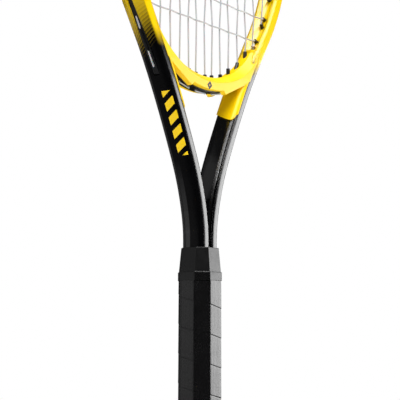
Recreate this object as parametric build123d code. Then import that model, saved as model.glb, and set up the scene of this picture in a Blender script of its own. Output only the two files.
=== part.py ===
from build123d import *
from math import atan2, cos, degrees, radians, sin, sqrt, tan
import os

# Tennis racket, alloy, 16 main strings and 19 cross strings.
# Frame of the part: origin at the centre of the butt end's flat face, +Z from the butt to the
# head's tip, X across the head, front face towards -Y. Millimetres.

# ---- head and shafts (X, Z plane) ----
HEAD_HALF_WIDTH = 126.5      # string-hole line, half width of the head
HEAD_MID_Z = 542.9           # height of the widest point
HEAD_LOWER = 208.5           # half height of the lower half ellipse
HEAD_UPPER = 145.0           # half height of the upper half ellipse
TUBE_DEPTH = 22.0            # beam, along Y
TUBE_WIDE = 11.0             # shaft width in the plane of the head
TUBE_R = 3.9                 # corner radius of the shaft section
WALL = 0.9
SHAFT_X = 5.6                # shaft centre line inside the handle
SHAFT_END_Z = 10.0           # lower end of the two tubes
KNOT_SLOPES = ((84.0, 387.0, 0.60), (65.9, 357.0, 0.60), (34.25, 297.0, 0.475))
KNOT_SLOPES += ((10.5, 237.0, 0.255), (SHAFT_X, 203.0, 0.0))

# ---- outer channel and grommets ----
CHANNEL_HALF = 2.6           # half width of the outer channel
CHANNEL_FLOOR = 6.2          # channel floor, from the hole line outward
SHAFT_FLOOR = 4.3            # channel floor at its lower end, from the shaft's centre line
STRIP_TOP = 7.2              # top of the grommet strip in the channel
LOOP_N = 8.0                 # centre line of the strings that run in the channel
BARREL_D = 3.3
BARREL_BORE = 1.7
HOLE_D = 3.5
BARREL_STAND = 3.2           # how far a barrel stands inside the hoop
SHORT_STAND = 0.6            # the same, under a knot
LIFT = 1.5                   # loop that passes over another string's end
BUMPER_ANGLE = 62.0          # bumper guard reaches this far each side of the tip

# ---- strings ----
STRING_D = 1.3
MAIN_X = (6.4, 16.0, 28.6, 40.4, 54.6, 66.8, 79.6, 94.5)
CROSS_START_Z = 388.7
CROSS_PITCH = (23.5, 20.9, 16.5, 14.5, 13.5, 13.0, 12.5, 12.5, 12.5, 12.5, 12.5, 12.5)
CROSS_PITCH += (12.8, 13.2, 13.6, 14.2, 14.8, 15.6)
WEAVE_H = 0.745              # corner of the weave path, off the string plane
MAIN_BEND_R = 12.0
CROSS_BEND_R = 7.0

# ---- throat bridge ----
BRIDGE_RIM = (91.5, 426.6)   # front and back edge of its inner face: arc radius, centre height
BRIDGE_MID = (86.2, 427.2)   # the same at mid depth, where the face stands proud
BRIDGE_MID_HALF = 4.5        # half width of that middle band
BRIDGE_DEPTH = 22.6
BRIDGE_TOP_Z = 378.0         # ledge where each end meets the hoop
BRIDGE_EAR = (23.8, 328.7)   # tip of each of the four ears
BRIDGE_EAR_IN = (20.0, 331.9)
BRIDGE_EAR_TOP = (50.4, 341.4)
DRAFT = ((9.4, 328.0), (11.3, 346.0))    # front face leans back: half depth at two heights
UNDER_MID_Z = 438.3          # centre height of the arcs of the underside
UNDER_R = 108.9              # lower edge of the front and back
SLOT_R = 107.1               # floor of the slot that holds the grommet strip
SLOT_HALF = 4.9
STRIP_R = (107.2, 109.9)     # grommet strip in the slot
STRIP_HALF = 4.8
STRIP_REACH = 45.5           # slot and strip end this far from the middle
LOOP_R = 110.8               # centre line of the strings under the bridge
PAD = ((68.7, 4.5), (74.0, 9.6))         # ledge under each knot: reach in X, half width
PAD_LOW_Z = 362.0
BARREL_PROUD = (2.5, 2.5, 2.3, 4.6, 2.9, 3.3)     # barrels above the bridge's mid band
BRIDGE_MAINS = 5             # mains each side whose holes leave by the bridge's underside
LEG_THICK = 1.6              # the legs wrap the shafts' inner side
LEG_HALF = 11.25
LEG_EDGE = -2.6              # where the wrap ends on the shaft's front and back
LEG_R = 4.2
LEG_END = ((-12.5, 314.6), (-10.6, 313.4), (-10.0, 310.2), (-8.6, 308.4), (-6.2, 308.8),
           (-2.6, 310.2), (2.5, 312.4), (6.0, 314.3), (12.5, 316.5))   # lower end, (Y, Z)
LOW_END_Z = 334.0            # lower end of the outer channel on the shaft
LOW_STRIP_Z = 332.4          # lower end of its grommet strip
LOW_HOLE_Z = 338.0
LOW_EXIT_BACK = 2.6          # the barrel ends this far short of the string's bend
LOW_CLEAR = 2.0              # hole runs on this far past the barrel
SLEEVE_Z = (349.0, 365.0)    # short sleeve over the string in the channel
SLEEVE_D = 2.4

# ---- handle ----
GRIP_X = 33.6                # grip, flat to flat, across X
GRIP_Y = 32.3                # grip, flat to flat, across Y
GRIP_CUT = 8.9               # corner cut of the octagon
GRIP_WALL = 1.9
GRIP_Z = (8.0, 176.6)
CORE_Z = (8.0, 178.0)
CAP_SLEEVE_Z = 30.0
CAP_SLEEVE_WALL = 0.9
CAP_FLARE = 2.6              # how much wider than the grip the butt is
CAP_H = 8.0
BAND_Z = (170.1, 177.0)
BAND_WALL = 0.2
TAPE_WALL = 0.15
TAPE_Z = (170.6, 176.6)
COLLAR_TOP_Z = 197.0
COLLAR_TOP = (28.0, 27.8, 6.9)           # width, depth and corner cut at the top
COLLAR_MOUTH = (22.6, 22.2, 2.3)         # the same for the mouth round the shafts


# ================= plane curve of the frame =================

def unit(x, z):
    size = sqrt(x * x + z * z)
    return (x / size, z / size)


def head_point(angle):
    """Point and running direction on the hole line, angle in degrees from the tip."""
    a = radians(angle)
    half = HEAD_UPPER if angle <= 90.0 else HEAD_LOWER
    p = (HEAD_HALF_WIDTH * sin(a), HEAD_MID_Z + half * cos(a))
    return p, unit(HEAD_HALF_WIDTH * cos(a), -half * sin(a))


def biarc(p, t, q, u):
    """Two tangent arcs from p along t to q along u, each as (start, direction, end)."""
    v = (q[0] - p[0], q[1] - p[1])
    s = (t[0] + u[0], t[1] + u[1])
    c = 1.0 - (t[0] * u[0] + t[1] * u[1])
    vv = v[0] ** 2 + v[1] ** 2
    vs = v[0] * s[0] + v[1] * s[1]
    if c < 1e-7:
        d = vv / (2.0 * vs)
    else:
        d = (-2.0 * vs + sqrt(4.0 * vs * vs + 8.0 * c * vv)) / (4.0 * c)
    m = ((p[0] + d * t[0] + q[0] - d * u[0]) / 2.0, (p[1] + d * t[1] + q[1] - d * u[1]) / 2.0)
    w = unit(q[0] - d * u[0] - p[0] - d * t[0], q[1] - d * u[1] - p[1] - d * t[1])
    return [(p, t, m, w), (m, w, q, u)]


def arc_data(piece):
    """Centre and turning angle (about +Y) of one arc, or None for a straight run."""
    p, t, q, u = piece
    n = (-t[1], t[0])
    v = (q[0] - p[0], q[1] - p[1])
    side = v[0] * n[0] + v[1] * n[1]
    if abs(side) < 1e-6:
        return None
    r = (v[0] ** 2 + v[1] ** 2) / (2.0 * side)
    c = (p[0] + r * n[0], p[1] + r * n[1])
    a = (p[0] - c[0], p[1] - c[1])
    b = (q[0] - c[0], q[1] - c[1])
    turn = degrees(atan2(a[1] * b[0] - a[0] * b[1], a[0] * b[0] + a[1] * b[1]))
    return c, turn


LOW_ANGLE = 132.5
HEAD_ANGLES = (0.0, 31.0, BUMPER_ANGLE, 90.0, 112.0, LOW_ANGLE)


def knots():
    found = [head_point(a) for a in HEAD_ANGLES]
    for x, z, slope in KNOT_SLOPES:
        found.append(((x, z), unit(-slope, -1.0)))
    return found


KNOTS = knots()
SPANS = [biarc(*KNOTS[i], *KNOTS[i + 1]) for i in range(len(KNOTS) - 1)]
HOOP_SPANS = 6               # spans with the hoop section, tip to the transition
LOFT_SPAN = 6                # span that blends the hoop section to the shaft section


def ref_point(z, offset=0.0):
    """Point of the frame's centre line at height z on the right side below the widest point."""
    best = None
    for span in SPANS:
        for piece in span:
            p, t, q, u = piece
            data = arc_data(piece)
            for k in range(41):
                f = k / 40.0
                if data is None:
                    w = (p[0] + f * (q[0] - p[0]), p[1] + f * (q[1] - p[1]))
                    d = t
                else:
                    c, turn = data
                    g = radians(turn * f)
                    a = (p[0] - c[0], p[1] - c[1])
                    w = (c[0] + a[0] * cos(g) + a[1] * sin(g), c[1] - a[0] * sin(g) + a[1] * cos(g))
                    d = (t[0] * cos(g) + t[1] * sin(g), -t[0] * sin(g) + t[1] * cos(g))
                w = (w[0] - d[1] * offset, w[1] + d[0] * offset)
                if w[1] < HEAD_MID_Z and (best is None or abs(w[1] - z) < abs(best[1] - z)):
                    best = w
    return best


def hole_x(z):
    """Half width of the hole line at height z, on the head."""
    half = HEAD_UPPER if z > HEAD_MID_Z else HEAD_LOWER
    return HEAD_HALF_WIDTH * sqrt(1.0 - ((z - HEAD_MID_Z) / half) ** 2)


def hole_z_top(x):
    return HEAD_MID_Z + HEAD_UPPER * sqrt(1.0 - (x / HEAD_HALF_WIDTH) ** 2)


def hole_z_low(x):
    return HEAD_MID_Z - HEAD_LOWER * sqrt(1.0 - (x / HEAD_HALF_WIDTH) ** 2)


# ================= sections, drawn as (outward, Y) =================

def rounded(points, round_at, r):
    shape = Polygon(*points, align=None)
    picked = []
    for vertex in shape.vertices():
        for x, y in round_at:
            if abs(vertex.X - x) < 1e-4 and abs(vertex.Y - y) < 1e-4:
                picked.append(vertex)
    return fillet(picked, r) if picked else shape


def both_sides(points):
    """Close a list of (n, y) points at -Y with its mirror at +Y."""
    return list(points) + [(n, -y) for n, y in reversed(points)]


def hoop_outer():
    pts = both_sides([(0.0, -1.8), (-4.6, -8.0), (-4.2, -11.0), (4.2, -11.0), (8.6, -4.2)])
    return rounded(pts, [(-4.2, -11.0), (4.2, -11.0), (-4.2, 11.0), (4.2, 11.0)], 1.8)


def hoop_inner():
    w = WALL
    pts = [(w, -2.4), (-4.5 + w, -8.6), (-4.3 + w, -11.0 + w), (3.4, -11.0 + w)]
    pts += [(6.4, -5.4), (CHANNEL_FLOOR - w, -4.4)]
    pts = both_sides(pts)
    return rounded(pts, [(3.4, -11.0 + w), (3.4, 11.0 - w)], 0.9)


def shaft_outer():
    h = TUBE_WIDE / 2.0
    b = TUBE_DEPTH / 2.0
    pts = both_sides([(-h, -1.8), (-h, -6.0), (-h, -b), (h, -b), (h, -4.2)])
    return rounded(pts, [(-h, -b), (h, -b), (-h, b), (h, b)], TUBE_R)


def shaft_inner():
    h = TUBE_WIDE / 2.0 - WALL
    b = TUBE_DEPTH / 2.0 - WALL
    pts = both_sides([(-h, -2.4), (-h, -6.2), (-h, -b), (h, -b), (h, -5.4), (h, -4.4)])
    return rounded(pts, [(h, -b), (h, b)], TUBE_R - WALL)


def section_plane(p, t):
    """Section plane across the frame: local x points out of the head, local y along Y."""
    return Plane(origin=(p[0], 0, p[1]), x_dir=(-t[1], 0, t[0]), z_dir=(t[0], 0, t[1]))


def run_section(section, pieces):
    """Carry a section along arcs and straight runs; returns one solid per run."""
    made = []
    for piece in pieces:
        p, t, q, u = piece
        face = section_plane(p, t) * section
        data = arc_data(piece)
        if data is None:
            length = sqrt((q[0] - p[0]) ** 2 + (q[1] - p[1]) ** 2)
            made.append(extrude(face, length, dir=(t[0], 0, t[1])))
            continue
        c, turn = data
        axis = Axis((c[0], 0, c[1]), (0, 1 if turn > 0 else -1, 0))
        made.append(revolve(face, axis, abs(turn)))
    return made


def joined(parts):
    parts = [p for p in parts]
    whole = parts[0]
    return whole.fuse(*parts[1:]) if len(parts) > 1 else whole


def two_sided(parts):
    return list(parts) + [mirror(p, about=Plane.YZ) for p in parts]


def span_pieces(first, last):
    out = []
    for i in range(first, last):
        out += SPANS[i]
    return out


def loft_between(first, second, a, b):
    wires = [(section_plane(*a) * first).wire(), (section_plane(*b) * second).wire()]
    return Solid.make_loft(wires, True)


def half_frame(hollow):
    hoop = hoop_inner() if hollow else hoop_outer()
    shaft = shaft_inner() if hollow else shaft_outer()
    parts = run_section(hoop, span_pieces(0, HOOP_SPANS))
    parts.append(loft_between(hoop, shaft, KNOTS[LOFT_SPAN], KNOTS[LOFT_SPAN + 1]))
    parts += run_section(shaft, span_pieces(LOFT_SPAN + 1, len(SPANS)))
    end = SHAFT_END_Z
    foot = ((SHAFT_X, KNOTS[-1][0][1]), (0.0, -1.0), (SHAFT_X, end), (0.0, -1.0))
    parts += run_section(shaft, [foot])
    return parts


def cylinder_between(a, b, d):
    v = Vector(*b) - Vector(*a)
    plane = Plane(origin=a, z_dir=v)
    return extrude(plane * Circle(d / 2.0), v.length)


# ================= string layout =================

def cross_heights():
    out = [CROSS_START_Z]
    for step in CROSS_PITCH:
        out.append(out[-1] + step)
    return out


CROSS_Z = cross_heights()


def arc_low(x, r, mid_z):
    """Height at x of the lower side of a circle round (0, mid_z)."""
    return mid_z - sqrt(r * r - x * x)


def barrel_top(x):
    """Mouth of a barrel on the bridge."""
    return arc_low(x, *BRIDGE_MID) + BARREL_PROUD[MAIN_X.index(x)]


def normal_low(x):
    a = HEAD_HALF_WIDTH
    return unit(x / a ** 2, (hole_z_low(x) - HEAD_MID_Z) / HEAD_LOWER ** 2)


def normal_at_z(z):
    half = HEAD_UPPER if z > HEAD_MID_Z else HEAD_LOWER
    return unit(hole_x(z) / HEAD_HALF_WIDTH ** 2, (z - HEAD_MID_Z) / half ** 2)


def out_along(p, d, n, normal):
    """Point where the line from p along d is n outside the hole line (locally straight)."""
    f = n / (d[0] * normal[0] + d[1] * normal[1])
    return (p[0] + d[0] * f, p[1] + d[1] * f)


def leaning(along, normal):
    """Direction of a hole, between the string's own direction and the frame's normal."""
    return unit(0.45 * along[0] + 0.55 * normal[0], 0.45 * along[1] + 0.55 * normal[1])


def grommets():
    """Every hole as (inner point, direction outward, normal, group, barrel stand)."""
    out = []
    for x in MAIN_X:
        z = hole_z_top(x)
        n = normal_at_z(z)
        out.append(((x, z), leaning((0.0, 1.0), n), n, "top", BARREL_STAND))
    for i in (6, 7):
        x = MAIN_X[i]
        n = normal_low(x)
        stand = SHORT_STAND if i == 6 else BARREL_STAND
        out.append(((x, hole_z_low(x)), leaning((0.0, -1.0), n), n, "side", stand))
    top_z = head_point(BUMPER_ANGLE)[0][1]
    for z in CROSS_Z:
        group = "top" if z > top_z else "side"
        n = normal_at_z(z)
        out.append(((hole_x(z), z), leaning((1.0, 0.0), n), n, group, BARREL_STAND))
    return out


GROMMETS = grommets()


def grommet_rod(g, n0, n1, d):
    a = out_along(g[0], g[1], n0, g[2])
    b = out_along(g[0], g[1], n1, g[2])
    return cylinder_between((a[0], 0, a[1]), (b[0], 0, b[1]), d)


def left_of(shape):
    return mirror(shape, about=Plane.YZ)


def low_offset(z):
    """Channel floor's offset from the centre line, on the blend and the top of the shaft."""
    f = (z - LOW_END_Z) / (KNOTS[LOFT_SPAN][0][1] - LOW_END_Z)
    return SHAFT_FLOOR + f * (CHANNEL_FLOOR - SHAFT_FLOOR)


def low_run(z):
    """Centre line of the string that lies in the channel's lower end."""
    return ref_point(z, low_offset(z) + STRIP_TOP - CHANNEL_FLOOR + 0.8)


def beyond(a, b, length):
    """Point on the line from a to b, this far past b."""
    d = unit(b[0] - a[0], b[1] - a[1])
    return (b[0] + d[0] * length, b[1] + d[1] * length)


# main 6 goes through the bridge and the shaft, out into the outer channel's lower end
LOW_ENTRY = (MAIN_X[5], barrel_top(MAIN_X[5]))
LOW_EXIT = beyond(LOW_ENTRY, low_run(LOW_HOLE_Z), -LOW_EXIT_BACK)
SLANT_OUT = MAIN_X[4] - 10.4
SLANT_EXIT = (SLANT_OUT, arc_low(SLANT_OUT, STRIP_R[1], UNDER_MID_Z) + 0.2)
SLANT_ENTRY = (MAIN_X[4], barrel_top(MAIN_X[4]))


def rod_xz(a, b, d):
    return cylinder_between((a[0], 0, a[1]), (b[0], 0, b[1]), d)


# ================= sub-parts =================

def make_channel():
    """Outer channel, cut from the tip down to the lowest grommet on each shaft."""
    far = 14.0
    h = CHANNEL_HALF
    cut = Polygon((CHANNEL_FLOOR, -h), (far, -h), (far, h), (CHANNEL_FLOOR, h), align=None)
    return run_section(cut, span_pieces(0, HOOP_SPANS))


def low_channel_loft(deep):
    """The channel's shallow lower end on the blend and the top of the shaft."""
    k0 = KNOTS[LOFT_SPAN]
    h = CHANNEL_HALF
    f = CHANNEL_FLOOR
    s = SHAFT_FLOOR
    first = Polygon((f, -h), (f + deep, -h), (f + deep, h), (f, h), align=None)
    second = Polygon((s, -h), (s + deep, -h), (s + deep, h), (s, h), align=None)
    p = ref_point(LOW_END_Z)
    q = ref_point(LOW_END_Z + 2.0)
    t = unit(p[0] - q[0], p[1] - q[1])
    return loft_between(first, second, k0, (p, t))


def make_frame(outer_solid):
    hollow = joined(two_sided(half_frame(True)))
    cuts = two_sided(make_channel() + [low_channel_loft(8.0)])
    holes = []
    for g in GROMMETS:
        holes.append(grommet_rod(g, -8.0, 12.0, HOLE_D))
    holes.append(rod_xz(beyond(LOW_EXIT, LOW_ENTRY, 6.0), beyond(LOW_ENTRY, LOW_EXIT, LOW_CLEAR), HOLE_D))
    slant = rod_xz(beyond(SLANT_EXIT, SLANT_ENTRY, 8.0), beyond(SLANT_ENTRY, SLANT_EXIT, 1.0), HOLE_D)
    holes.append(slant)
    shape = outer_solid.cut(hollow)
    shape = shape.cut(*cuts)
    return shape.cut(*two_sided(holes))


def poly_xz(points, depth):
    face = Plane.XZ * Polygon(*points, align=None)
    return extrude(face, depth / 2.0, both=True)


def shaft_line(z_values, offset):
    return [ref_point(z, offset) for z in z_values]


def disc(r, mid_z, depth):
    face = Plane.XZ * Circle(r)
    return Pos(0, 0, mid_z) * extrude(face, depth / 2.0, both=True)


def circle_at(r, mid_z, y):
    return (Plane(origin=(0, y, mid_z), x_dir=(1, 0, 0), z_dir=(0, 1, 0)) * Circle(r)).wire()


def bridge_bowl():
    """Space above the bridge's inner face: a middle band that flares to the front and back."""
    half = BRIDGE_DEPTH / 2.0
    mid = circle_at(*BRIDGE_MID, -BRIDGE_MID_HALF)
    rim = circle_at(*BRIDGE_RIM, -half)
    flare = Solid.make_loft([mid, rim], True)
    outside = Pos(0, -half - 2.0, 0) * disc(*BRIDGE_RIM, 4.0)
    return [disc(*BRIDGE_MID, 2.0 * BRIDGE_MID_HALF), flare, mirror(flare, about=Plane.XZ),
            outside, mirror(outside, about=Plane.XZ)]


def prism_x(points, reach):
    """Extrude a (Y, Z) outline to both sides."""
    face = Plane.YZ * Polygon(*points, align=None)
    return extrude(face, reach, both=True)


def make_leg():
    n = -TUBE_WIDE / 2.0 - LEG_THICK
    section = rounded(both_sides([(LEG_EDGE, -LEG_HALF), (n, -LEG_HALF)]),
                      [(n, -LEG_HALF), (n, LEG_HALF)], LEG_R)
    leg = joined(run_section(section, span_pieces(LOFT_SPAN + 1, LOFT_SPAN + 2)))
    under = list(LEG_END) + [(LEG_END[-1][0], 290.0), (LEG_END[0][0], 290.0)]
    return leg.cut(prism_x(under, 90.0))


def make_pad():
    """Ledge where each end of the bridge meets the hoop, under the tie-off knot."""
    (near, half), (far, wide) = PAD
    outline = [(near, -half), (far, -wide), (far + 6.0, -wide), (far + 6.0, wide), (far, wide), (near, half)]
    face = Plane.XY.offset(PAD_LOW_Z) * Polygon(*outline, align=None)
    return extrude(face, BRIDGE_TOP_Z - PAD_LOW_Z)


def make_bridge(outer_solid):
    side = shaft_line([326.0 + 3.0 * k for k in range(20)], -1.5)
    side = [p for p in side if p[1] < BRIDGE_TOP_Z]
    x_top = side[-1][0] + 2.0
    side.append((x_top, BRIDGE_TOP_Z))
    region = poly_xz(side + [(-x, z) for x, z in reversed(side)], BRIDGE_DEPTH)
    block = solid_part(region.intersect(disc(UNDER_R, UNDER_MID_Z, 30.0)))
    ear = poly_xz([BRIDGE_EAR_IN, BRIDGE_EAR, BRIDGE_EAR_TOP, (47.0, 345.0), (24.0, 337.0)], BRIDGE_DEPTH)
    body = block.fuse(ear, left_of(ear))
    (near, low), (far, high) = DRAFT
    lean = (far - near) / (high - low)
    wedge = prism_x([(-14.0, 320.0), (-near + lean * (low - 320.0), 320.0), (-far, high), (-14.0, high)], 70.0)
    body = body.cut(wedge, mirror(wedge, about=Plane.XZ))
    slot = disc(120.0, UNDER_MID_Z, 2.0 * SLOT_HALF).cut(disc(SLOT_R, UNDER_MID_Z, 30.0))
    slot = solid_part(slot.intersect(Pos(0, 0, 330.0) * Box(2.0 * STRIP_REACH + 0.6, 30.0, 40.0)))
    body = body.cut(slot)
    leg = make_leg()
    body = body.fuse(leg, left_of(leg))
    body = body.cut(*bridge_bowl())
    pad = make_pad()
    body = body.fuse(pad, left_of(pad))
    body = body.cut(outer_solid)
    holes = []
    for x in MAIN_X[:BRIDGE_MAINS - 1]:
        holes.append(rod_xz((x, arc_low(x, UNDER_R, UNDER_MID_Z) - 1.0), (x, 400.0), HOLE_D))
    holes.append(rod_xz(beyond(SLANT_ENTRY, SLANT_EXIT, 1.0), beyond(SLANT_EXIT, SLANT_ENTRY, 8.0), HOLE_D))
    holes.append(rod_xz(beyond(LOW_EXIT, LOW_ENTRY, 9.0), beyond(LOW_ENTRY, LOW_EXIT, LOW_CLEAR), HOLE_D))
    for g in GROMMETS:
        if g[0][1] < 392.0:
            holes.append(grommet_rod(g, -9.0, 9.0, HOLE_D))
    return solid_part(body.cut(*two_sided(holes)))


def bored(rods, bores, base):
    shape = joined(base)
    shape = shape.fuse(*rods)
    return shape.cut(*bores)


def barrels(group):
    rods = []
    bores = []
    for g in GROMMETS:
        if g[3] == group:
            rods.append(grommet_rod(g, -g[4], CHANNEL_FLOOR + 0.3, BARREL_D))
            bores.append(grommet_rod(g, -9.0, 12.0, BARREL_BORE))
    return rods, bores


def make_bumper():
    pts = [(6.2, -2.6), (8.6, -2.6), (8.6, -4.2), (5.3, -9.3), (6.48, -10.06), (10.0, -4.75)]
    pts += [(10.0, -1.7), (7.2, -1.7)]
    section = Polygon(*both_sides(pts), align=None)
    base = two_sided(run_section(section, span_pieces(0, 2)))
    rods, bores = barrels("top")
    return bored(two_sided(rods), two_sided(bores), base)


def make_side_strip():
    h = CHANNEL_HALF
    section = Polygon((6.2, -h), (7.2, -h), (7.2, h), (6.2, h), align=None)
    base = run_section(section, span_pieces(2, HOOP_SPANS))
    low = low_channel_loft(STRIP_TOP - CHANNEL_FLOOR)
    base.append(low.cut(Pos(60.0, 0, LOW_STRIP_Z - 20.0) * Box(60.0, 30.0, 40.0)))
    rods, bores = barrels("side")
    rods.append(rod_xz(LOW_ENTRY, LOW_EXIT, BARREL_D))
    bores.append(rod_xz(beyond(LOW_EXIT, LOW_ENTRY, 2.0), beyond(LOW_ENTRY, LOW_EXIT, 9.0), BARREL_BORE))
    bottom, top = [low_run(z) for z in SLEEVE_Z]
    rods.append(rod_xz(bottom, top, SLEEVE_D))
    bores.append(rod_xz(beyond(top, bottom, 6.0), beyond(bottom, top, 6.0), BARREL_BORE))
    return bored(rods, bores, base)


def make_bridge_strip(outer_solid):
    inner, outer = STRIP_R
    band = disc(outer, UNDER_MID_Z, 2.0 * STRIP_HALF).cut(disc(inner, UNDER_MID_Z, 30.0))
    band = solid_part(band.intersect(Pos(0, 0, 330.0) * Box(2.0 * STRIP_REACH, 30.0, 40.0)))
    rods = []
    bores = []
    for x in MAIN_X[:BRIDGE_MAINS - 1]:
        top = barrel_top(x)
        rods.append(rod_xz((x, arc_low(x, outer, UNDER_MID_Z) + 0.4), (x, top), BARREL_D))
        bores.append(rod_xz((x, 320.0), (x, top + 4.0), BARREL_BORE))
    rods.append(rod_xz(SLANT_EXIT, SLANT_ENTRY, BARREL_D))
    bores.append(rod_xz(beyond(SLANT_ENTRY, SLANT_EXIT, 6.0), beyond(SLANT_EXIT, SLANT_ENTRY, 3.0), BARREL_BORE))
    shape = bored(two_sided(rods), two_sided(bores), [band])
    below = disc(STRIP_R[1] + 12.0, UNDER_MID_Z, 30.0).cut(disc(outer, UNDER_MID_Z, 40.0))
    return solid_part(shape.cut(below, outer_solid))


def main_path(i, sign):
    x = MAIN_X[i]
    top = (x, 0.0, hole_z_top(x))
    g = GROMMETS[i]
    peak = out_along(g[0], g[1], LOOP_N, g[2])
    mouth = out_along(g[0], g[1], -BARREL_STAND - 0.4, g[2])
    pts = []
    if i < BRIDGE_MAINS - 1:
        pts += [(x, 0.0, arc_low(x, LOOP_R, UNDER_MID_Z)), (x, 0.0, barrel_top(x) + 0.4)]
    elif i == BRIDGE_MAINS - 1:
        low = beyond(SLANT_ENTRY, SLANT_EXIT, 1.2)
        pts += [(low[0], 0.0, low[1]), (x, 0.0, SLANT_ENTRY[1] + 0.4)]
    elif i == BRIDGE_MAINS:
        low = low_run(LOW_HOLE_Z)
        pts += [(low[0], 0.0, low[1]), (x, 0.0, LOW_ENTRY[1] + 0.4)]
    else:
        g = GROMMETS[len(MAIN_X) + i - 6]
        low = out_along(g[0], g[1], LOOP_N, g[2])
        lip = out_along(g[0], g[1], -g[4] - 0.4, g[2])
        pts += [(low[0], 0.0, low[1]), (lip[0], 0.0, lip[1])]
    for j, z in enumerate(CROSS_Z):
        if hole_x(z) > x + 1.5 and z < top[2] - 4.0 and (i < 6 or z > hole_z_low(x) + 4.0):
            over = 1.0 if (i + j + (0 if sign > 0 else 1)) % 2 == 0 else -1.0
            pts.append((x, over * WEAVE_H, z))
    pts += [(mouth[0], 0.0, mouth[1]), (peak[0], 0.0, peak[1])]
    return pts


def string_along(points, radii_default):
    count = len(points) - 2
    radii = []
    for k in range(count):
        a = Vector(*points[k])
        b = Vector(*points[k + 1])
        c = Vector(*points[k + 2])
        turn = (b - a).get_angle(c - b)
        room = 0.42 * min((b - a).length, (c - b).length) / max(tan(radians(turn) / 2.0), 1e-3)
        radii.append(min(radii_default, room))
    path = FilletPolyline(*points, radius=radii)
    start = Plane(origin=path @ 0, z_dir=path % 0)
    return sweep(start * Circle(STRING_D / 2.0), path=path)


def make_mains():
    solids = []
    for sign in (1, -1):
        for i in range(len(MAIN_X)):
            pts = [(sign * x, y, z) for x, y, z in main_path(i, sign)]
            solids.append(string_along(pts, MAIN_BEND_R))
    return solids


def bead(p):
    return Pos(p[0], 0, p[1]) * Sphere(STRING_D / 2.0)


def arc_loop(a, m, b):
    path = ThreePointArc((a[0], 0, a[1]), (m[0], 0, m[1]), (b[0], 0, b[1]))
    start = Plane(origin=path @ 0, z_dir=path % 0)
    return sweep(start * Circle(STRING_D / 2.0), path=path)


def channel_loop(a, b, lift):
    """Run along the outer channel between two holes; a, b are points on the hole line's offset."""
    m = ((a[0] + b[0]) / 2.0, (a[1] + b[1]) / 2.0)
    chord = unit(b[0] - a[0], b[1] - a[1])
    span = sqrt((b[0] - a[0]) ** 2 + (b[1] - a[1]) ** 2)
    n = (-chord[1], chord[0])
    if n[0] * m[0] + n[1] * (m[1] - HEAD_MID_Z) < 0.0:
        n = (-n[0], -n[1])
    rise = span * span / (8.0 * 118.0) + lift
    return arc_loop(a, (m[0] + n[0] * rise, m[1] + n[1] * rise), b)


def main_tops():
    out = []
    for i in range(len(MAIN_X)):
        g = GROMMETS[i]
        out.append(out_along(g[0], g[1], LOOP_N, g[2]))
    return out


def main_lows():
    out = [(x, arc_low(x, LOOP_R, UNDER_MID_Z)) for x in MAIN_X[:BRIDGE_MAINS - 1]]
    out.append(beyond(SLANT_ENTRY, SLANT_EXIT, 1.2))
    out.append(low_run(LOW_HOLE_Z))
    for i in (6, 7):
        g = GROMMETS[len(MAIN_X) + i - 6]
        out.append(out_along(g[0], g[1], LOOP_N, g[2]))
    return out


def cross_ends():
    out = []
    for k in range(len(CROSS_Z)):
        g = GROMMETS[len(MAIN_X) + 2 + k]
        out.append(out_along(g[0], g[1], LOOP_N, g[2]))
    return out


def flip(p):
    return (-p[0], p[1])


def make_main_loops():
    tops = main_tops()
    lows = main_lows()
    made = []
    for a, b in ((0, 1), (2, 3), (4, 5), (6, 7)):
        loop = channel_loop(tops[a], tops[b], LIFT if b == 7 else 0.0)
        made += [loop, left_of(loop)]
    made.append(rod_xz(flip(lows[0]), lows[0], STRING_D))
    for a, b in ((1, 2), (3, 4)):
        loop = rod_xz(lows[a], lows[b], STRING_D)
        made += [loop, left_of(loop)]
    stops = [lows[5], low_run(SLEEVE_Z[0]), low_run(SLEEVE_Z[1]), lows[6]]
    for a, b in zip(stops, stops[1:]):
        loop = rod_xz(a, b, STRING_D)
        made += [loop, left_of(loop)]
    ends = tops + lows + stops[1:3]
    return made + [bead(p) for p in ends] + [bead(flip(p)) for p in ends]


def make_crosses():
    solids = []
    ends = cross_ends()
    for j, z in enumerate(CROSS_Z):
        g = GROMMETS[len(MAIN_X) + 2 + j]
        mouth = out_along(g[0], g[1], -BARREL_STAND - 0.4, g[2])
        pts = [(-ends[j][0], 0.0, ends[j][1]), (-mouth[0], 0.0, mouth[1])]
        order = [(-x, i, -1) for i, x in enumerate(MAIN_X)][::-1]
        order += [(x, i, 1) for i, x in enumerate(MAIN_X)]
        for x, i, sign in order:
            crossed = hole_x(z) > abs(x) + 1.5 and z < hole_z_top(x) - 4.0
            if crossed and (i < 6 or z > hole_z_low(x) + 4.0):
                over = 1.0 if (i + j + (0 if sign > 0 else 1)) % 2 == 0 else -1.0
                pts.append((x, -over * WEAVE_H, z))
        pts += [(mouth[0], 0.0, mouth[1]), (ends[j][0], 0.0, ends[j][1])]
        solids.append(string_along(pts, CROSS_BEND_R))
    return solids


def make_cross_loops():
    ends = cross_ends()
    made = []
    for k in range(len(ends) - 1):
        a = ends[k]
        b = ends[k + 1]
        loop = channel_loop(a, b, LIFT if k in (0, len(ends) - 2) else 0.0)
        made.append(left_of(loop) if k % 2 == 0 else loop)
    return made


def make_knots(strings):
    """Tie-off knots, each a small tapered lump round the outer main it is tied to."""
    out = []
    x = MAIN_X[6]
    low = hole_z_low(x) + 2.6
    high = hole_z_top(x) - BARREL_STAND - 1.2
    out.append(Pos(x, 0, low + 1.6) * Cone(2.0, 1.0, 3.2))
    out.append(Pos(-x, 0, low + 1.6) * Cone(2.0, 1.0, 3.2))
    out.append(Pos(-x, 0, high - 0.8) * Cone(1.0, 2.3, 1.6))
    return [solid_part(knot.cut(*strings)) for knot in out]


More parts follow.
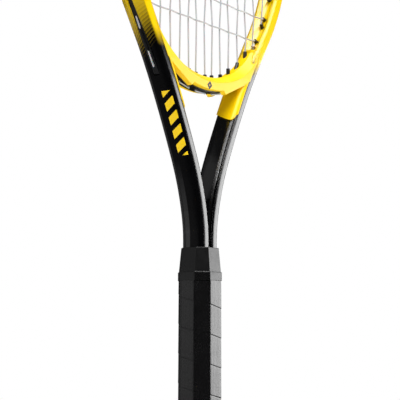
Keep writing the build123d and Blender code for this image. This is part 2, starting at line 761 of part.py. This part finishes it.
def solid_part(shape):
    found = sorted(shape.solids(), key=lambda s: s.volume)
    return found[-1]


def octagon(wx, wy, cut):
    x = wx / 2.0
    y = wy / 2.0
    pts = [(-x + cut, -y), (x - cut, -y), (x, -y + cut), (x, y - cut)]
    pts += [(x - cut, y), (-x + cut, y), (-x, y - cut), (-x, -y + cut)]
    return Polygon(*pts, align=None)


def grip_octagon(grow):
    """Octagon of the grip's shape, grown by a wall thickness on every side."""
    cut = GRIP_CUT + grow * (2.0 - sqrt(2.0))
    return octagon(GRIP_X + 2.0 * grow, GRIP_Y + 2.0 * grow, cut)


def prism(face, z0, z1):
    return extrude(Pos(0, 0, z0) * face, z1 - z0)


def make_core(outer_solid):
    full = prism(grip_octagon(-GRIP_WALL), CORE_Z[0], CORE_Z[1])
    neck = prism(grip_octagon(5.0), 0.0, CAP_SLEEVE_Z)
    neck = neck.cut(prism(grip_octagon(-GRIP_WALL - CAP_SLEEVE_WALL), 0.0, CAP_SLEEVE_Z))
    slot = Pos(0, 0, 95.0) * Box(2.0, 14.2, 170.0)
    return full.cut(neck, outer_solid, slot)


def make_cap():
    flange = loft([Pos(0, 0, 1.5) * grip_octagon(CAP_FLARE), Pos(0, 0, CAP_H) * grip_octagon(0.9)])
    foot = loft([Pos(0, 0, 0) * grip_octagon(CAP_FLARE - 1.2), Pos(0, 0, 1.5) * grip_octagon(CAP_FLARE)])
    sleeve = prism(grip_octagon(-GRIP_WALL), CAP_H, CAP_SLEEVE_Z)
    cavity = prism(grip_octagon(-GRIP_WALL - CAP_SLEEVE_WALL), 2.4, CAP_SLEEVE_Z + 1.0)
    return flange.fuse(foot, sleeve).cut(cavity)


def make_staples():
    out = []
    y = GRIP_Y / 2.0 - GRIP_WALL
    for side in (1, -1):
        crown = Pos(0, side * (y - 0.3), 20.0) * Box(10.0, 0.6, 1.0)
        out.append(crown)
        for x in (-4.6, 4.6):
            out.append(Pos(x, side * (y - 1.2), 20.0) * Box(0.8, 2.4, 1.0))
    return [out[0].fuse(out[1], out[2]), out[3].fuse(out[4], out[5])]


def make_grip():
    outer = prism(grip_octagon(0.0), GRIP_Z[0], GRIP_Z[1])
    return outer.cut(prism(grip_octagon(-GRIP_WALL), GRIP_Z[0] - 1.0, GRIP_Z[1] + 1.0))


def make_tape():
    outer = prism(grip_octagon(TAPE_WALL), TAPE_Z[0], TAPE_Z[1])
    return outer.cut(prism(grip_octagon(0.0), TAPE_Z[0] - 1.0, TAPE_Z[1] + 1.0))


def make_collar():
    band = prism(grip_octagon(TAPE_WALL + BAND_WALL), BAND_Z[0], BAND_Z[1])
    band = band.cut(prism(grip_octagon(TAPE_WALL), BAND_Z[0] - 1.0, GRIP_Z[1] + 0.05))
    low = Pos(0, 0, BAND_Z[1]) * grip_octagon(-0.35)
    top = Pos(0, 0, COLLAR_TOP_Z) * octagon(*COLLAR_TOP)
    skin = loft([low, top])
    low_in = Pos(0, 0, CORE_Z[1] + 0.02) * grip_octagon(-GRIP_WALL - 0.3)
    top_in = Pos(0, 0, COLLAR_TOP_Z) * octagon(*COLLAR_MOUTH)
    room = loft([low_in, top_in])
    seat = prism(grip_octagon(-GRIP_WALL), BAND_Z[0], CORE_Z[1] + 0.02)
    return band.fuse(skin).cut(room, seat)


def save(shape, name):
    if isinstance(shape, (list, tuple)):
        flat = []
        for s in shape:
            flat += list(s.solids())
        shape = Compound(children=flat) if len(flat) > 1 else flat[0]
    if isinstance(shape, ShapeList):
        shape = Compound(children=list(shape))
    export_step(shape, os.path.join("parts", name + ".step"))
    print(name, "solids", len(shape.solids()), "volume", round(shape.volume / 1000.0, 2), "cm3", flush=True)


OUTER = joined(two_sided(half_frame(False)))
save(make_frame(OUTER), "frame_tube")
save(make_bridge(OUTER), "throat_bridge")
save(make_bumper(), "bumper_guard")
STRIP = make_side_strip()
save(STRIP, "grommet_strip_right")
save(left_of(STRIP), "grommet_strip_left")
save(make_bridge_strip(OUTER), "bridge_grommet_strip")
STAPLES = make_staples()
CORE = make_core(OUTER)
save(CORE.cut(*STAPLES), "handle_core")
save(make_cap().cut(*STAPLES), "butt_cap")
save(STAPLES, "butt_cap_staples")
save(make_grip(), "grip_wrap")
save(make_tape(), "finishing_tape")
save(make_collar(), "collar")
MAINS = make_mains()
CROSSES = make_crosses()
MAIN_STRINGS = MAINS[0].fuse(*(MAINS[1:] + make_main_loops()))
save(MAIN_STRINGS, "main_strings")
save(CROSSES + make_cross_loops(), "cross_strings")
save(make_knots([MAINS[6], MAINS[len(MAIN_X) + 6]]), "tie_off_knots")
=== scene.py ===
from math import atan2, cos, exp, hypot, pi, radians, sin, tan

import bmesh
import bpy
from mathutils import Matrix, Vector


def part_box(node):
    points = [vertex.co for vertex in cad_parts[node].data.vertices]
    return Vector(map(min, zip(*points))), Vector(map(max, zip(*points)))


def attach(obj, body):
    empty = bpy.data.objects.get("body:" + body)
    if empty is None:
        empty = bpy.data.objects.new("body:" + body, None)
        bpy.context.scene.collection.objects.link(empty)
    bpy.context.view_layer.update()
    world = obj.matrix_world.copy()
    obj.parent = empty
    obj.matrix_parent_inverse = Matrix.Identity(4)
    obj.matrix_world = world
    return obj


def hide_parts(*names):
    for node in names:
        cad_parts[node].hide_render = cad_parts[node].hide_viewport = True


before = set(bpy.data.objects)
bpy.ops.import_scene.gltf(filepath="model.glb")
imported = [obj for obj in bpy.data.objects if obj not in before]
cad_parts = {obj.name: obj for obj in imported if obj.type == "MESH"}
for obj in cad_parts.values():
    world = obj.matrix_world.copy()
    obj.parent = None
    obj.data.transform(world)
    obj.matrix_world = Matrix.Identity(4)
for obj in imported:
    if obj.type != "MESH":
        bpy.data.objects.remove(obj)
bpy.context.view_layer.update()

# Tennis racket: materials, wrapped grip, studio and camera.
# Metres, in the imported model's frame: +Z from the butt to the head's tip, front towards -Y.

MM = 0.001

YELLOW = (0.93, 0.62, 0.0, 1.0)
BLACK_PAINT = (0.0015, 0.0015, 0.0018, 1.0)
BLACK_PLASTIC = (0.005, 0.005, 0.0055, 1.0)
GRIP_BLACK = (0.0012, 0.0011, 0.0014, 1.0)
STRING_WHITE = (0.50, 0.50, 0.515, 1.0)

FADE_FRONT = (0.352, 0.367)  # front and back: black below, yellow above, blending smoothly
FADE_SIDE = (0.347, 0.380)   # outer side: the same in stripes, at mid depth
OUTER_SHADE_SPAN = (0.352, 0.420)    # outer side: painted shade, the yellow itself darkened towards the black, as that side lies in shade from the front light
OUTER_SHADE_LEAST = 0.30
FADE_SLANT = 0.65            # the outer side's fade sits higher towards the front
FADE_STRIPE = 0.0022         # pitch of the fade's stripes
FADE_LEAN = 0.62             # the stripes rise towards the front
FADE_SOFT = 0.80             # how softly a stripe turns from black to yellow
BARS_Z = (0.2705, 0.3195)      # shaft graphic, generic slanted bars
BAR_PITCH = 0.0105
BAR_LEAN = 0.55
BAR_FILL = 0.58
BAR_MID_Y = -0.0042
BAR_HALF_WIDTH = 0.0047
MID_BAND_Y = (0.0018, 0.0064)             # glossier bands on the shafts' dull outer sides
MID_BAND_END = (0.236, 0.268)             # the middle one fades out upward
BACK_BAND_Y = 0.0068
PAINT_CROWN = 9.0            # slight roundness of the shafts' sides, 1/m

GRIP_FLATS = (0.0168, 0.01615, 0.01700)   # centre to flat: X, Y, diagonal
WRAP_PITCH = 0.0240
WRAP_START = (radians(243.9), 0.1031)     # a point of the seam: angle, height
SEAM_DEPTH = 0.00022
SEAM_WIDTH = 0.00045
LAP_RISE = 0.00016
LAP_FADE = 0.0050


PANEL_STEPS = 6              # dim panels at the left, dimmer step by step downward
PANEL_TOP = 0.24
PANEL_LOW = 0.03


# ---------------- node helpers ----------------

class Graph:
    """Short calls for building one material's node tree."""

    def __init__(self, name):
        self.mat = bpy.data.materials.new(name)
        self.mat.use_nodes = True
        self.tree = self.mat.node_tree
        self.shader = self.tree.nodes["Principled BSDF"]

    def node(self, kind, **settings):
        made = self.tree.nodes.new(kind)
        for key, value in settings.items():
            setattr(made, key, value)
        return made

    def link(self, out, into):
        self.tree.links.new(out, into)

    def put(self, socket, value):
        if isinstance(value, bpy.types.NodeSocket):
            self.link(value, socket)
        else:
            socket.default_value = value

    def math(self, kind, a, b=0.0, c=0.0, clamp=False):
        n = self.node("ShaderNodeMath", operation=kind, use_clamp=clamp)
        for socket, value in zip(n.inputs, (a, b, c)):
            self.put(socket, value)
        return n.outputs[0]

    def mix(self, factor, a, b):
        n = self.node("ShaderNodeMix", data_type="RGBA")
        self.put(n.inputs[0], factor)
        self.put(n.inputs[6], a)
        self.put(n.inputs[7], b)
        return n.outputs[2]

    def place(self):
        """Object coordinates, split: (vector, x, y, z)."""
        coords = self.node("ShaderNodeTexCoord").outputs["Object"]
        split = self.node("ShaderNodeSeparateXYZ")
        self.link(coords, split.inputs[0])
        return coords, split.outputs[0], split.outputs[1], split.outputs[2]

    def normal(self):
        geometry = self.node("ShaderNodeNewGeometry")
        split = self.node("ShaderNodeSeparateXYZ")
        self.link(geometry.outputs["Normal"], split.inputs[0])
        return split.outputs[0], split.outputs[1], split.outputs[2]

    def noise(self, coords, scale, detail=3.0, rough=0.5):
        n = self.node("ShaderNodeTexNoise")
        self.link(coords, n.inputs["Vector"])
        n.inputs["Scale"].default_value = scale
        n.inputs["Detail"].default_value = detail
        n.inputs["Roughness"].default_value = rough
        return n.outputs["Fac"]

    def between(self, value, low, high):
        """1 where low < value < high."""
        above = self.math("GREATER_THAN", value, low)
        below = self.math("LESS_THAN", value, high)
        return self.math("MULTIPLY", above, below)

    def ramp(self, value, ends):
        """0 below the first end, 1 above the second, straight between."""
        low, high = ends
        return self.math("DIVIDE", self.math("SUBTRACT", value, low), high - low, clamp=True)

    def bump(self, height, strength, distance, edge=0.0):
        n = self.node("ShaderNodeBump")
        n.inputs["Strength"].default_value = strength
        n.inputs["Distance"].default_value = distance
        self.put(n.inputs["Height"], height)
        if edge > 0.0:
            soft = self.node("ShaderNodeBevel", samples=4)
            soft.inputs["Radius"].default_value = edge
            self.link(soft.outputs[0], n.inputs["Normal"])
        self.link(n.outputs[0], self.shader.inputs["Normal"])

    def set(self, **values):
        for key, value in values.items():
            self.put(self.shader.inputs[key.replace("_", " ")], value)
        return self


# ---------------- materials ----------------

def frame_paint():
    """Gloss paint: yellow head, black shafts, a striped fade and slanted bars on the shafts, with painted shade
    darkening the yellow on the outer side in and above the fade.
    """
    g = Graph("frame_paint")
    coords, x, y, z = g.place()
    nx, ny, nz = g.normal()
    side = g.math("MULTIPLY", g.math("SIGN", x), nx)
    outer = g.ramp(side, (0.35, 0.65))
    slanted = g.math("MULTIPLY_ADD", y, FADE_SLANT, z)
    level = g.ramp(slanted, FADE_SIDE)
    stripe = g.math("FRACT", g.math("DIVIDE", g.math("MULTIPLY_ADD", y, FADE_LEAN, z), FADE_STRIPE))
    reach = g.math("MULTIPLY_ADD", level, 1.0 + 2.0 * FADE_SOFT, -FADE_SOFT)
    soft = g.math("DIVIDE", g.math("ADD", g.math("SUBTRACT", reach, stripe), FADE_SOFT), 2.0 * FADE_SOFT, clamp=True)
    # painted shade: the outer side's yellow is darkened towards the black fade, standing in for the shade on that
    # side
    dim = g.math("MULTIPLY_ADD", g.ramp(slanted, OUTER_SHADE_SPAN), 1.0 - OUTER_SHADE_LEAST, OUTER_SHADE_LEAST)
    striped = g.math("MULTIPLY", soft, dim)
    smooth = g.ramp(z, FADE_FRONT)
    fade = g.math("MULTIPLY_ADD", outer, g.math("SUBTRACT", striped, smooth), smooth)
    outside = g.math("GREATER_THAN", side, 0.7)
    bar_at = g.math("DIVIDE", g.math("MULTIPLY_ADD", y, BAR_LEAN, z), BAR_PITCH)
    bar = g.math("LESS_THAN", g.math("FRACT", bar_at), BAR_FILL)
    inside_y = g.math("LESS_THAN", g.math("ABSOLUTE", g.math("SUBTRACT", y, BAR_MID_Y)), BAR_HALF_WIDTH)
    zone = g.between(z, *BARS_Z)
    bars = g.math("MULTIPLY", g.math("MULTIPLY", bar, zone), g.math("MULTIPLY", inside_y, outside))
    mask = g.math("MAXIMUM", fade, bars)
    tone = g.mix(g.noise(coords, 60.0, 2.0), YELLOW, (0.90, 0.585, 0.0, 1.0))
    g.set(Base_Color=g.mix(mask, BLACK_PAINT, tone))
    mid_band = g.math("MULTIPLY", g.between(y, *MID_BAND_Y), g.math("SUBTRACT", 1.0, g.ramp(z, MID_BAND_END)))
    gloss = g.math("MAXIMUM", mid_band, g.math("GREATER_THAN", y, BACK_BAND_Y))
    black_side = g.math("MULTIPLY", g.math("SUBTRACT", 1.0, mask), g.ramp(side, (0.35, 0.65)))
    dull = g.math("MULTIPLY", black_side, g.math("SUBTRACT", 1.0, gloss))
    g.set(Specular_IOR_Level=g.math("MULTIPLY_ADD", dull, -0.40, 0.50))
    g.set(Roughness=0.16, Coat_Weight=g.math("MULTIPLY_ADD", dull, -0.56, 0.60), Coat_Roughness=0.05)
    orange_peel = g.math("MULTIPLY", g.noise(coords, 900.0, 1.0), 0.00001)
    crown = g.math("MULTIPLY_ADD", g.math("MULTIPLY", y, y), -PAINT_CROWN, orange_peel)
    g.bump(crown, 1.0, 1.0, 0.0025)
    return g.mat


def bridge_plastic():
    """Gloss yellow moulding with one small generic diamond on its front."""
    g = Graph("bridge_plastic")
    coords, x, y, z = g.place()
    tone = g.mix(g.noise(coords, 45.0, 2.0), YELLOW, (0.90, 0.585, 0.0, 1.0))
    dx = g.math("DIVIDE", g.math("ABSOLUTE", x), 0.0034)
    dz = g.math("DIVIDE", g.math("ABSOLUTE", g.math("SUBTRACT", z, 0.3326)), 0.0038)
    reach = g.math("ADD", dx, dz)
    ring = g.between(reach, 0.22, 1.0)
    front = g.math("LESS_THAN", y, -0.0090)
    g.set(Base_Color=g.mix(g.math("MULTIPLY", ring, front), tone, (0.004, 0.004, 0.004, 1.0)))
    g.set(Roughness=0.34, Specular_IOR_Level=0.30)
    g.bump(g.noise(coords, 700.0, 2.0), 0.06, 0.0003, 0.0009)
    return g.mat


def plastic(name, colour, rough, scale, bump, edge=0.0003):
    """Moulded plastic with a fine grain and a little uneven sheen."""
    g = Graph(name)
    coords, x, y, z = g.place()
    patchy = g.noise(coords, 130.0, 3.0)
    g.set(Base_Color=colour, Specular_IOR_Level=0.6)
    g.set(Roughness=g.math("MULTIPLY_ADD", patchy, 0.16, rough - 0.08))
    g.bump(g.noise(coords, scale, 4.0, 0.6), bump, 0.0003, edge)
    return g.mat


def string_gut():
    """Off-white nylon string, slightly see-through at its rim."""
    g = Graph("string_gut")
    coords, x, y, z = g.place()
    g.set(Base_Color=g.mix(g.noise(coords, 90.0, 2.0), STRING_WHITE, (0.43, 0.43, 0.445, 1.0)))
    g.set(Roughness=0.30, Subsurface_Weight=0.25, Subsurface_Scale=0.0006)
    g.bump(g.noise(coords, 2500.0, 1.0), 0.1, 0.0001)
    return g.mat


def grip_rubber():
    """Tacky synthetic leather: satin black, fine pores and long soft streaks."""
    g = Graph("grip_rubber")
    coords, x, y, z = g.place()
    wear = g.noise(coords, 70.0, 4.0)
    g.set(Base_Color=g.mix(wear, GRIP_BLACK, (0.0026, 0.0024, 0.0028, 1.0)))
    g.set(Roughness=g.math("MULTIPLY_ADD", wear, 0.12, 0.20), Specular_IOR_Level=0.80)
    pores = g.node("ShaderNodeTexVoronoi")
    g.link(coords, pores.inputs["Vector"])
    pores.inputs["Scale"].default_value = 1500.0
    grain = g.math("MULTIPLY_ADD", g.noise(coords, 1100.0, 4.0, 0.65), 0.7, pores.outputs["Distance"])
    stretched = g.node("ShaderNodeMapping")
    g.link(coords, stretched.inputs["Vector"])
    stretched.inputs["Scale"].default_value = (1.0, 1.0, 0.05)
    streaks = g.noise(stretched.outputs["Vector"], 520.0, 3.0)
    g.bump(g.math("MULTIPLY_ADD", streaks, 1.6, grain), 0.24, 0.00025)
    return g.mat


def wire_steel():
    g = Graph("wire_steel")
    coords, x, y, z = g.place()
    g.set(Base_Color=(0.60, 0.60, 0.61, 1.0), Metallic=1.0)
    g.set(Roughness=g.math("MULTIPLY_ADD", g.noise(coords, 900.0), 0.2, 0.22))
    return g.mat


MATERIALS = {
    "frame_tube": frame_paint(),
    "throat_bridge": bridge_plastic(),
    "bumper_guard": plastic("bumper_plastic", BLACK_PLASTIC, 0.42, 1600.0, 0.25),
    "handle_core": plastic("foam_core", (0.03, 0.03, 0.03, 1.0), 0.7, 2200.0, 0.5),
    "butt_cap": plastic("cap_plastic", BLACK_PLASTIC, 0.36, 1500.0, 0.2, 0.0005),
    "butt_cap_staples": wire_steel(),
    "finishing_tape": plastic("tape_vinyl", BLACK_PLASTIC, 0.4, 2500.0, 0.3),
    "collar": plastic("collar_rubber", (0.0016, 0.0016, 0.0018, 1.0), 0.30, 2400.0, 0.2, 0.0006),
}
GROMMET = plastic("grommet_plastic", (0.005, 0.005, 0.006, 1.0), 0.4, 2000.0, 0.2)
GUT = string_gut()
for name in ("grommet_strip_left", "grommet_strip_right", "bridge_grommet_strip"):
    MATERIALS[name] = GROMMET
for name in ("main_strings", "cross_strings", "tie_off_knots"):
    MATERIALS[name] = GUT

for name, material in MATERIALS.items():
    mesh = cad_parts[name].data
    mesh.materials.clear()
    mesh.materials.append(material)


# ---------------- wrapped grip ----------------

def octagon_radius(angle):
    """Distance from the axis to a softly rounded eight-sided outline."""
    dx, dy, dd = GRIP_FLATS
    total = 0.0
    for k in range(8):
        flat = (dx, dd, dy, dd)[k % 4]
        c = cos(angle - k * pi / 4.0)
        if c > 0.0:
            total += (c / flat) ** 46
    return total ** (-1.0 / 46)


def wrap_offset(angle, z):
    """Height of the wrap over its flat surface: each turn laps over the one below it."""
    turns = (z - WRAP_START[1]) / WRAP_PITCH + (angle - WRAP_START[0]) / (2.0 * pi)
    phase = turns - int(turns // 1)
    above = phase * WRAP_PITCH
    below = (1.0 - phase) * WRAP_PITCH
    lap = LAP_RISE * exp(-above / LAP_FADE) - 0.6 * LAP_RISE * exp(-below / LAP_FADE)
    return lap - SEAM_DEPTH * exp(-below / SEAM_WIDTH)


def make_grip():
    low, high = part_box("grip_wrap")
    around = 168
    rows = 720
    edge = 0.0012
    mesh = bpy.data.meshes.new("wrapped_grip")
    bm = bmesh.new()
    grid = []
    for r in range(rows + 1):
        z = low[2] + (high[2] - low[2]) * r / rows
        pull = max(0.0, 1.0 - (z - low[2]) / edge) ** 2 * 0.0006
        ring = []
        for k in range(around):
            angle = 2.0 * pi * (k + 0.5) / around
            radius = octagon_radius(angle) + wrap_offset(angle, z) - pull
            ring.append(bm.verts.new((radius * cos(angle), radius * sin(angle), z)))
        grid.append(ring)
    for ring, upper in zip(grid, grid[1:]):
        for k in range(around):
            j = (k + 1) % around
            bm.faces.new((ring[k], ring[j], upper[j], upper[k]))
    for ring, height, flip in ((grid[0], low[2], True), (grid[-1], high[2], False)):
        inner = []
        for v in ring:
            inner.append(bm.verts.new((v.co.x * 0.86, v.co.y * 0.86, height)))
        for k in range(around):
            j = (k + 1) % around
            loop = (ring[k], ring[j], inner[j], inner[k])
            bm.faces.new(tuple(reversed(loop)) if flip else loop)
    for face in bm.faces:
        face.smooth = True
    bm.normal_update()
    bm.to_mesh(mesh)
    bm.free()
    mesh.materials.append(grip_rubber())
    grip = bpy.data.objects.new("wrapped_grip", mesh)
    bpy.context.scene.collection.objects.link(grip)
    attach(grip, "root")
    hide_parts("grip_wrap")
    return grip


make_grip()


# ---------------- studio ----------------

AXIS_POINT = Vector((0.0, 0.0, 0.237))
CAMERA_AZIMUTH = radians(-53.3)
CAMERA_TILT = radians(6.77)
CAMERA_ROLL = radians(0.13)
CAMERA_DISTANCE = 0.915
FOCAL_WIDTHS = 1106.0 / 400.0          # focal length, in image widths
FLOOR_RADIUS = 1.05


def make_camera():
    a = CAMERA_AZIMUTH
    t = CAMERA_TILT
    forward = Vector((-sin(a) * cos(t), cos(a) * cos(t), sin(t)))
    level = Vector((cos(a), sin(a), 0.0))
    up = level.cross(forward)
    right = level * cos(CAMERA_ROLL) + up * sin(CAMERA_ROLL)
    top = up * cos(CAMERA_ROLL) - level * sin(CAMERA_ROLL)
    data = bpy.data.cameras.new("camera")
    data.sensor_width = 36.0
    data.lens = 36.0 * FOCAL_WIDTHS
    data.clip_start = 0.05
    camera = bpy.data.objects.new("camera", data)
    spot = AXIS_POINT - forward * CAMERA_DISTANCE
    turn = Matrix((right, top, -forward)).transposed().to_4x4()
    camera.matrix_world = Matrix.Translation(spot) @ turn
    bpy.context.scene.collection.objects.link(camera)
    bpy.context.scene.camera = camera


def area_light(name, direction, distance, size, radiance, centre=(0.0, 0.0, 0.33)):
    """A soft panel that faces the racket, given by the brightness of its face."""
    data = bpy.data.lights.new(name, "AREA")
    data.shape = "RECTANGLE"
    data.size = size[0]
    data.size_y = size[1]
    data.energy = radiance * pi * size[0] * size[1]
    light = bpy.data.objects.new(name, data)
    towards = Vector(direction).normalized()
    light.location = Vector(centre) + towards * distance
    light.rotation_euler = towards.to_track_quat("Z", "Y").to_euler()
    bpy.context.scene.collection.objects.link(light)


def make_world():
    """White to the camera, and a dim room to everything else."""
    world = bpy.data.worlds.new("studio")
    bpy.context.scene.world = world
    world.use_nodes = True
    tree = world.node_tree
    background = tree.nodes["Background"]
    background.inputs["Color"].default_value = (1.0, 1.0, 1.0, 1.0)
    seen = tree.nodes.new("ShaderNodeLightPath")
    level = tree.nodes.new("ShaderNodeMath")
    level.operation = "MULTIPLY_ADD"
    level.inputs[1].default_value = 0.97
    level.inputs[2].default_value = 0.03
    tree.links.new(seen.outputs["Is Camera Ray"], level.inputs[0])
    tree.links.new(level.outputs[0], background.inputs["Strength"])


def make_floor():
    """A pale round table top that brightens to white at its rim."""
    g = Graph("floor_white")
    coords, x, y, z = g.place()
    span = g.math("SQRT", g.math("ADD", g.math("MULTIPLY", x, x), g.math("MULTIPLY", y, y)))
    rim = g.math("DIVIDE", g.math("SUBTRACT", span, 0.15), FLOOR_RADIUS - 0.2, clamp=True)
    g.set(Base_Color=g.mix(g.noise(coords, 3.0), (0.86, 0.86, 0.86, 1.0), (0.90, 0.90, 0.90, 1.0)))
    g.set(Roughness=0.9, Emission_Color=(1.0, 1.0, 1.0, 1.0))
    g.set(Emission_Strength=g.math("MULTIPLY_ADD", rim, 0.75, 0.12))
    mesh = bpy.data.meshes.new("floor")
    bm = bmesh.new()
    bmesh.ops.create_circle(bm, cap_ends=True, segments=96, radius=FLOOR_RADIUS)
    bm.to_mesh(mesh)
    bm.free()
    mesh.materials.append(g.mat)
    floor = bpy.data.objects.new("floor", mesh)
    bpy.context.scene.collection.objects.link(floor)
    floor.visible_glossy = False      # a matt sweep, kept out of the gloss paint


make_camera()
make_world()
make_floor()
area_light("front_box", (0.875, -0.485, -0.01), 2.0, (1.34, 1.0), 5.1)
area_light("high_box", (-0.30, -0.34, 1.00), 2.4, (2.4, 2.4), 7.6)
area_light("back_panel", (-0.10, 0.95, -0.25), 2.4, (1.8, 2.0), 0.20)
area_light("side_panel_high", (-0.62, 0.60, 0.52), 2.4, (1.2, 1.1), 0.20)
for step in range(PANEL_STEPS):
    drop = step / (PANEL_STEPS - 1)
    toward = (-0.80 + 0.34 * drop, 0.60, 0.10 - 0.80 * drop)
    area_light("side_panel_%d" % step, toward, 2.4, (1.2, 0.9), PANEL_TOP * (1.0 - drop) + PANEL_LOW * drop)
bpy.context.scene.view_settings.view_transform = "Standard"
